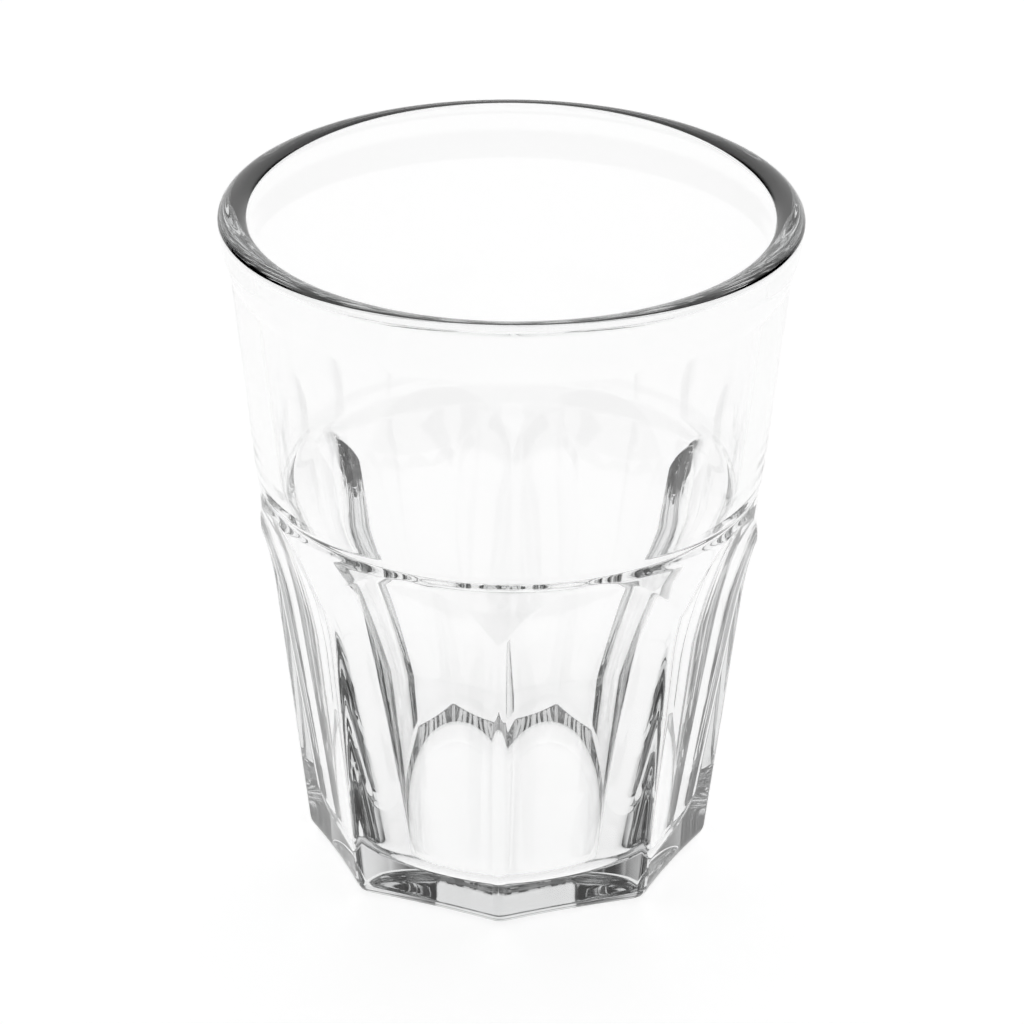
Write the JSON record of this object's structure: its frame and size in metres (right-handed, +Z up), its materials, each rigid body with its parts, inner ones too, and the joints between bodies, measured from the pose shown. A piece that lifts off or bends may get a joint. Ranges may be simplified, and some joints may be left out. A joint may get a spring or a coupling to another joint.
{
  "type": "shot glass",
  "caption": "Clear plastic shot glass: round beaded lip, tapered wall, eight-sided faceted grip on the lower half and a flat foot",
  "frame": {"origin": "centre of the underside, on the plane that the glass stands on", "axes": "+Z up along the axis of the glass towards the lip; a facet ridge faces -Y, +Y, -X and +X"},
  "size_m": [0.0498, 0.0498, 0.06],
  "materials": {
    "clear_polycarbonate": "water-clear injection moulding with a high gloss, colourless"
  },
  "bodies": {
    "root": {"rim": "clear_polycarbonate", "upper_wall": "clear_polycarbonate", "faceted_wall": "clear_polycarbonate", "base": "clear_polycarbonate"}
  },
  "joints": []
}
